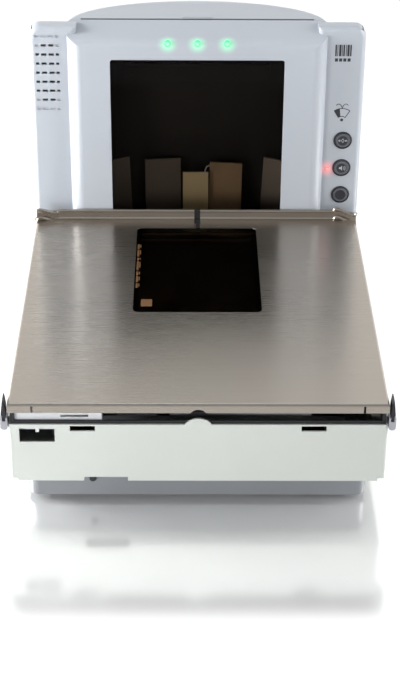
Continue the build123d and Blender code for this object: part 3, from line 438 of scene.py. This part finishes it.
def wing_marks():
    """Plain barcode sign and clean-the-glass sign on the right wing."""
    x = BARCODE_LEFT
    bars = []
    for width, space in BARCODE_STEPS:
        bars.append(bar(x, x + width, *BARCODE_ROWS))
        x += width + space
    for left in BARCODE_BLOCKS:
        bars.append(bar(left, left + BARCODE_BLOCK_WIDTH, *BARCODE_BLOCK_ROWS))
    printed("barcode_sign", bars, "tower_front_bezel", FRONT, "ink_dark", "housing")
    x, z = CLEAN_SIGN
    pane = stroke(arc(x, z, 12.2, 55, 125), 0.7)
    sill = stroke(arc(x, z, 4.6, 50, 130), 0.7)
    right = stroke([(x + 7.0, z + 10.0), (x + 3.0, z + 3.5)], 0.7)
    left = stroke([(x - 7.0, z + 10.0), (x - 3.0, z + 3.5)], 0.7)
    wiped = arc(x, z, 12.2, 100, 125, 8) + arc(x, z, 4.6, 130, 105, 8)
    jets = []
    for side in (-1, 1):
        jets.append(stroke([
            (x + side * 0.3, z + 13.4), (x + side * 1.2, z + 15.4), (x + side * 2.8, z + 16.6),
            (x + side * 4.4, z + 16.3), (x + side * 5.4, z + 15.2),
        ], 0.6))
    nozzle = bar(x - 0.35, x + 0.35, z + 12.4, z + 14)
    outlines = [pane, sill, right, left, wiped, *jets, nozzle, disc(x, z + 1.2, 1.4)]
    printed("clean_glass_sign", outlines, "tower_front_bezel", FRONT, "ink_dark", "housing")


def key_marks():
    """Dark centres and pale symbols on the three keys."""
    centres = {}
    for key in ("zero", "volume", "power"):
        low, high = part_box(key + "_button")
        centres[key] = ((low.x + high.x) / 2 / MM, (low.z + high.z) / 2 / MM)
    for key, radius in KEY_DOTS:
        x, z = centres[key]
        printed(key + "_dot", [disc(x, z, radius)], key + "_button", FRONT, "ink_dark", key + "_key")
    x, z = centres["zero"]
    outlines = []
    for side in (-1, 1):
        outlines.append(bar(*sorted((x + side * 2.2, x + side * 4.2)), z - 0.35, z + 0.35))
        outlines.append([(x + side * 1.7, z), (x + side * 3.1, z + 1.2), (x + side * 3.1, z - 1.2)])
    diamond = [(x, z + 2.0), (x + 1.2, z), (x, z - 2.0), (x - 1.2, z)]
    for start, end in zip(diamond, diamond[1:] + diamond[:1]):
        outlines.append(stroke([start, end], 0.45))
    printed("zero_symbol", outlines, "zero_button", FRONT, "ink_light", "zero_key", 1)
    x, z = centres["volume"]
    horn = [
        (x - 2.2, z - 0.9), (x - 0.9, z - 0.9), (x + 0.6, z - 2.5),
        (x + 0.6, z + 2.5), (x - 0.9, z + 0.9), (x - 2.2, z + 0.9),
    ]
    waves = [band(x, z, 2.0, 2.5, -40, 40), band(x, z, 3.2, 3.7, -40, 40)]
    printed("volume_symbol", [horn, *waves], "volume_button", FRONT, "ink_light", "volume_key", 1)
    x, z = centres["power"]
    rings = [band(x, z, 3.3, 3.6), band(x, z, 4.6, 4.9)]
    printed("power_rings", rings, "power_button", FRONT, "ink_dark", "power_key")


def plate_marks():
    """Amber scale ticks and a plain label under the edge of the plate's glass."""
    ticks = []
    y = TICKS_BACK
    for length, space in TICK_STEPS:
        ticks.append(bar(*TICK_WIDE, y - length, y))
        ticks.append(bar(*TICK_NARROW, y - length * 0.7, y - length * 0.1))
        y -= length + space
    printed("glass_ticks", ticks, "horizontal_window", DOWN, "ink_amber", "platter")
    printed("glass_label", [bar(*LABEL)], "horizontal_window", DOWN, "ink_amber", "platter")


def small_piece(name, outline, plane, low, high, finish, body, edge=0.2):
    """Solid of an outline in mm, between low and high along Y ("xz") or Z ("xy"), with broken edges."""
    shape = bmesh.new()
    ring = []
    for level in (low, high):
        row = []
        for first, second in outline:
            place = (first, level, second) if plane == "xz" else (first, second, level)
            row.append(shape.verts.new(Vector(place) * MM))
        ring.append(row)
    shape.faces.new(ring[0])
    shape.faces.new(ring[1])
    count = len(outline)
    for index in range(count):
        after = (index + 1) % count
        shape.faces.new((ring[0][index], ring[0][after], ring[1][after], ring[1][index]))
    bmesh.ops.recalc_face_normals(shape, faces=shape.faces[:])
    mesh = bpy.data.meshes.new(name)
    shape.to_mesh(mesh)
    shape.free()
    made = bpy.data.objects.new(name, mesh)
    bpy.context.scene.collection.objects.link(made)
    mesh.materials.append(finishes[finish].material)
    edges = made.modifiers.new("edges", "BEVEL")
    edges.width = edge * MM
    edges.segments = 3
    edges.limit_method = "ANGLE"
    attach(made, body)
    return made


def seam_seal():
    """Dark foam strip in the joint between the two halves of the tower, just under the top."""
    shell_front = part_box("tower_rear_cover")[0].y / MM
    bezel_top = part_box("tower_front_bezel")[1].z / MM
    small_piece(
        "seam_seal", bar(-102.8, 102.8, shell_front - 2.4, shell_front - 0.2), "xy",
        bezel_top - 1.75, bezel_top - 0.5, "rubber_black", "housing",
    )


def glass_clip():
    """Small white hook behind the tower glass that holds the middle mirror."""
    hook = stroke([(7.6, 133.6), (7.8, 138.5), (9.2, 142.2), (11.8, 143.6)], 1.1)
    low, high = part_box("tower_mirror_centre")
    front = low.y / MM
    small_piece("mirror_clip", hook, "xz", front - 2.2, front - 0.4, "bracket_paint", "housing")


wing_marks()
key_marks()
plate_marks()
seam_seal()
glass_clip()


# ---------------------------------------------------------------- studio
def make_floor():
    """Plain pale floor: near white, with a clear reflection under the unit."""
    bpy.ops.mesh.primitive_plane_add(size=14, location=(0, 2, 0))
    floor = bpy.context.object
    floor.name = "floor"
    finish = Finish("floor_white", (0.8, 0.8, 0.8, 1), 0.5)
    tree = finish.tree
    paper = finish.node("ShaderNodeEmission", {"Color": (1, 1, 1, 1), "Strength": 0.05})
    sheen = finish.node(
        "ShaderNodeBsdfGlossy",
        {"Color": (1, 1, 1, 1), "Roughness": finish.spread(finish.noise(3, 2), 0.15, 0.17)},
    )
    body = finish.node("ShaderNodeMixShader", {0: 0.7, 1: finish.shader.outputs[0], 2: sheen.outputs[0]})
    both = finish.node("ShaderNodeAddShader", {0: body.outputs[0], 1: paper.outputs[0]})
    tree.links.new(both.outputs[0], tree.nodes["Material Output"].inputs["Surface"])
    floor.data.materials.append(finish.material)


def area_light(name, place, target, size, power, colour=(1, 1, 1)):
    """Soft rectangular light aimed at target."""
    data = bpy.data.lights.new(name, "AREA")
    data.shape = "RECTANGLE"
    data.size, data.size_y = size
    data.energy = power
    data.color = colour
    made = bpy.data.objects.new(name, data)
    made.location = place
    made.rotation_mode = "QUATERNION"
    made.rotation_quaternion = (Vector(target) - Vector(place)).to_track_quat("-Z", "Y")
    bpy.context.scene.collection.objects.link(made)
    return made


def make_studio():
    """Pale backdrop, brightest at the back and left, a darker ceiling, and four soft lights."""
    world = bpy.data.worlds.new("studio")
    world.use_nodes = True
    tree = world.node_tree
    background = tree.nodes["Background"]
    place = tree.nodes.new("ShaderNodeTexCoord")
    split = tree.nodes.new("ShaderNodeSeparateXYZ")
    ramp = tree.nodes.new("ShaderNodeValToRGB")
    tree.links.new(place.outputs["Generated"], split.inputs[0])
    tree.links.new(split.outputs["Z"], ramp.inputs[0])
    ramp.color_ramp.elements[0].position = 0.62
    ramp.color_ramp.elements[0].color = (1, 1, 1, 1)
    ramp.color_ramp.elements[1].position = 0.85
    ramp.color_ramp.elements[1].color = (0.3, 0.32, 0.35, 1)
    tree.links.new(ramp.outputs["Color"], background.inputs["Color"])
    # the backdrop fades from the left and back towards the right and front
    side = tree.nodes.new("ShaderNodeVectorMath")
    side.operation = "DOT_PRODUCT"
    side.inputs[1].default_value = (-0.4, 0.92, 0)
    tree.links.new(place.outputs["Generated"], side.inputs[0])
    fade = tree.nodes.new("ShaderNodeMapRange")
    fade.interpolation_type = "SMOOTHSTEP"
    for socket, value in (("From Min", -0.8), ("From Max", 0.6), ("To Min", 0.6), ("To Max", 1.08)):
        fade.inputs[socket].default_value = value
    tree.links.new(side.outputs["Value"], fade.inputs["Value"])
    tree.links.new(fade.outputs["Result"], background.inputs["Strength"])
    bpy.context.scene.world = world
    area_light("key", (-0.95, 0.0, 0.42), (0, 0, 0.14), (0.4, 0.6), 22)
    area_light("low", (-0.75, -0.75, 0.2), (-0.15, -0.2, 0.05), (0.3, 0.3), 5)
    area_light("fill", (0.85, -0.15, 0.45), (0, 0, 0.14), (0.5, 0.6), 8)
    area_light("top", (-0.2, 0.5, 2.4), (0, 0.1, 0), (2.0, 1.0), 8)


def make_camera():
    """Camera in front, 30 degrees above level, a little left of the middle."""
    data = bpy.data.cameras.new("camera")
    data.sensor_width = 36
    data.lens = 92
    data.clip_end = 50
    camera = bpy.data.objects.new("camera", data)
    camera.location = (-0.0103, -1.3164, 0.8121)
    aim = Vector((0.0028, 0, 0.0419)) - camera.location
    camera.rotation_mode = "QUATERNION"
    roll = Quaternion((0, 0, 1), math.radians(0.4))
    camera.rotation_quaternion = aim.to_track_quat("-Z", "Y") @ roll
    bpy.context.scene.collection.objects.link(camera)
    bpy.context.scene.camera = camera


make_floor()
make_studio()
make_camera()
bpy.context.scene.view_settings.view_transform = "Standard"
